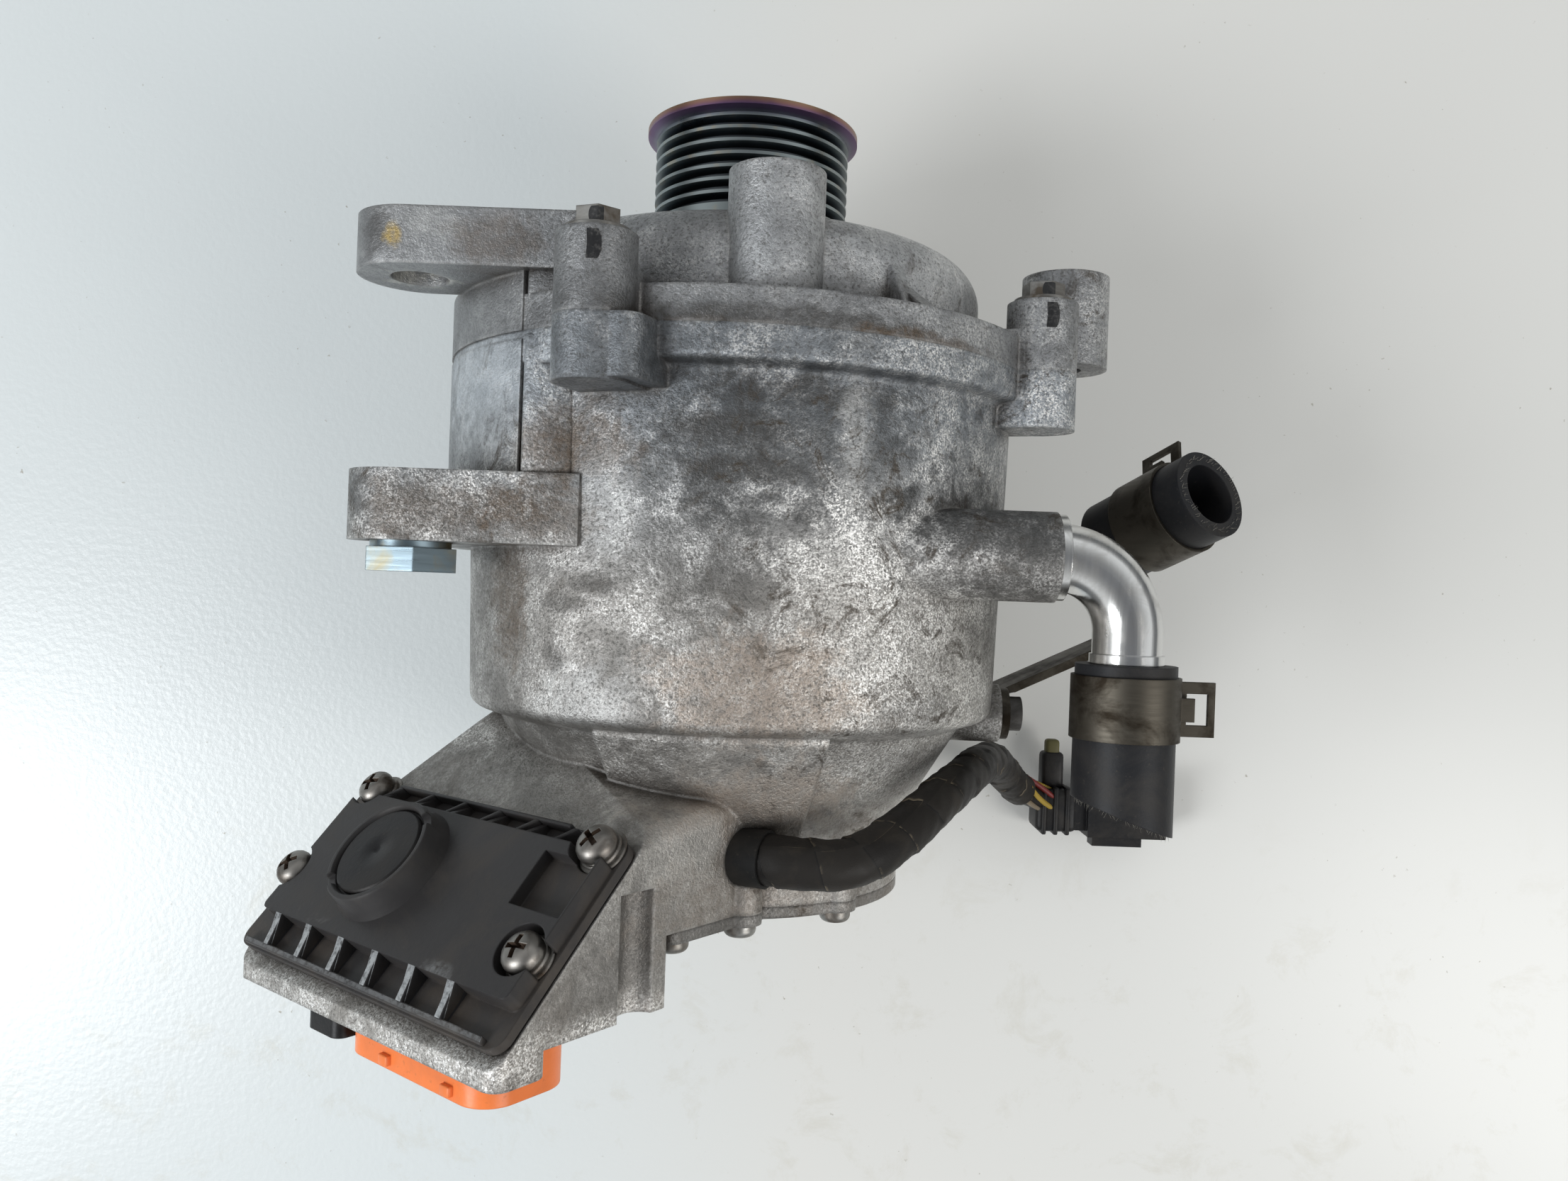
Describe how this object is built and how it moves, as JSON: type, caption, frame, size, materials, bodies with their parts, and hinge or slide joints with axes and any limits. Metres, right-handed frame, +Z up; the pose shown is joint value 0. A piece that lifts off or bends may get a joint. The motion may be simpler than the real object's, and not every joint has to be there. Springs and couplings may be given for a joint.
{
  "type": "liquid-cooled belt-driven starter-generator",
  "caption": "Liquid-cooled belt-driven starter-generator: ribbed pulley, finless cast barrel, pivot lugs, sloped terminal box with lid, power connector, coolant stubs and taped sensor cable.",
  "frame": {"origin": "on the rotor axis in the middle plane of the belt pulley's grooves", "axes": "+Y along the rotor axis out through the pulley, +Z up with the machine lying on its side, +X toward the coolant connections"},
  "size_m": [0.2779, 0.2481, 0.2048],
  "materials": {
    "pulley_steel": "turned, heat-tinted",
    "dark_steel": "phosphated",
    "machined_steel": "ground",
    "bearing_steel": "ground",
    "lamination": "stacked sheet",
    "magnet": "nickel-plated",
    "machined_aluminium": "turned",
    "cast_aluminium": "as cast, weathered",
    "sheet_aluminium": "pressed",
    "polished_aluminium": "drawn",
    "zinc_steel": "zinc-plated",
    "yellow_zinc": "yellow-passivated",
    "clamp_steel": "dull zinc",
    "copper": "bare",
    "seal_rubber": "matte",
    "hose_rubber": "matte",
    "black_plastic": "moulded",
    "dark_plastic": "moulded",
    "orange_plastic": "moulded",
    "taped_cable": "tape-wrapped"
  },
  "bodies": {
    "stator": {"front_bearing_outer": "bearing_steel", "rear_bearing_outer": "bearing_steel", "resolver_stator": "lamination", "stator_core": "lamination", "stator_winding": "copper", "cooling_sleeve": "machined_aluminium", "sleeve_seals": "seal_rubber", "front_cover": "cast_aluminium", "bearing_retainer": "machined_steel", "retainer_screws": "dark_steel", "through_bolts": "zinc_steel", "main_housing": "cast_aluminium", "rear_cover": "sheet_aluminium", "rear_screws": "zinc_steel", "terminal_lid": "black_plastic", "lid_gasket": "seal_rubber", "lid_screws": "zinc_steel", "inspection_cap": "black_plastic", "hv_shell": "orange_plastic", "hv_blades": "copper", "signal_socket": "dark_plastic", "terminal_block": "dark_plastic", "coolant_elbow": "polished_aluminium", "upper_hose": "hose_rubber", "upper_clamp": "clamp_steel", "lower_pipe": "polished_aluminium", "lower_hose": "hose_rubber", "lower_clamp": "clamp_steel", "pipe_stay": "clamp_steel", "stay_bolt": "dark_steel", "harness": "taped_cable", "harness_grommet": "seal_rubber", "harness_plug": "dark_plastic"},
    "rotor": {"pulley": "pulley_steel", "pulley_nut": "dark_steel", "rotor_shaft": "machined_steel", "rotor_core": "lamination", "rotor_magnets": "magnet", "rotor_end_plates": "machined_aluminium", "front_bearing_inner": "bearing_steel", "rear_bearing_inner": "bearing_steel", "resolver_rotor": "lamination"},
    "bush": {"slide_bush": "yellow_zinc"}
  },
  "joints": [
    {"name": "rotor_spin", "type": "hinge", "parent": "stator", "child": "rotor", "pos_m": [0, 0, 0], "axis": [0, 1, 0], "continuous": true},
    {"name": "bush_slide", "type": "slide", "parent": "stator", "child": "bush", "axis": [0, 1, 0], "range_m": [-0.002, 0.0014]}
  ]
}
